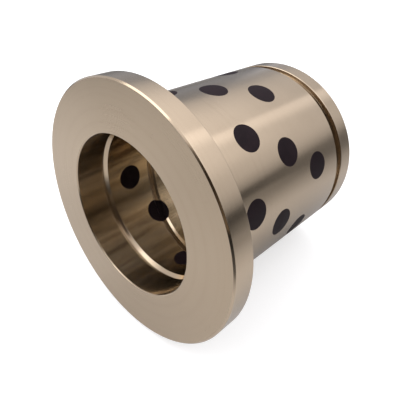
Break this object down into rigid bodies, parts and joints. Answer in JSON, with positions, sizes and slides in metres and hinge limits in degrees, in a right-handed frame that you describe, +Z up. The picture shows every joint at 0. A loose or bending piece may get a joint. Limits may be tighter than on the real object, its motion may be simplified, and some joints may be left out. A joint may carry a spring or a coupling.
{
  "type": "flanged self-lubricating bushing",
  "caption": "Flanged bronze bushing with flush graphite plugs, grease grooves in the bore and a groove near the plain end.",
  "frame": {"origin": "On the bore's axis, in the plane of the flange's back face, which seats against the housing.", "axes": "+Y along the bore axis from the flange towards the plain end; +Z up; the flange's thrust face looks along -Y."},
  "size_m": [0.13, 0.12, 0.13],
  "materials": {
    "bronze": "satin, fine turned",
    "graphite": "matt, cut flush"
  },
  "bodies": {
    "root": {"bronze_body": "bronze", "graphite_plug_ring1_1": "graphite", "graphite_plug_ring1_2": "graphite", "graphite_plug_ring1_3": "graphite", "graphite_plug_ring1_4": "graphite", "graphite_plug_ring2_1": "graphite", "graphite_plug_ring2_2": "graphite", "graphite_plug_ring2_3": "graphite", "graphite_plug_ring2_4": "graphite", "graphite_plug_ring3_1": "graphite", "graphite_plug_ring3_2": "graphite", "graphite_plug_ring3_3": "graphite", "graphite_plug_ring3_4": "graphite", "graphite_plug_ring4_1": "graphite", "graphite_plug_ring4_2": "graphite", "graphite_plug_ring4_3": "graphite", "graphite_plug_ring4_4": "graphite", "graphite_plug_ring5_1": "graphite", "graphite_plug_ring5_2": "graphite", "graphite_plug_ring5_3": "graphite", "graphite_plug_ring5_4": "graphite", "graphite_plug_ring6_1": "graphite", "graphite_plug_ring6_2": "graphite", "graphite_plug_ring6_3": "graphite", "graphite_plug_ring6_4": "graphite"}
  },
  "joints": []
}
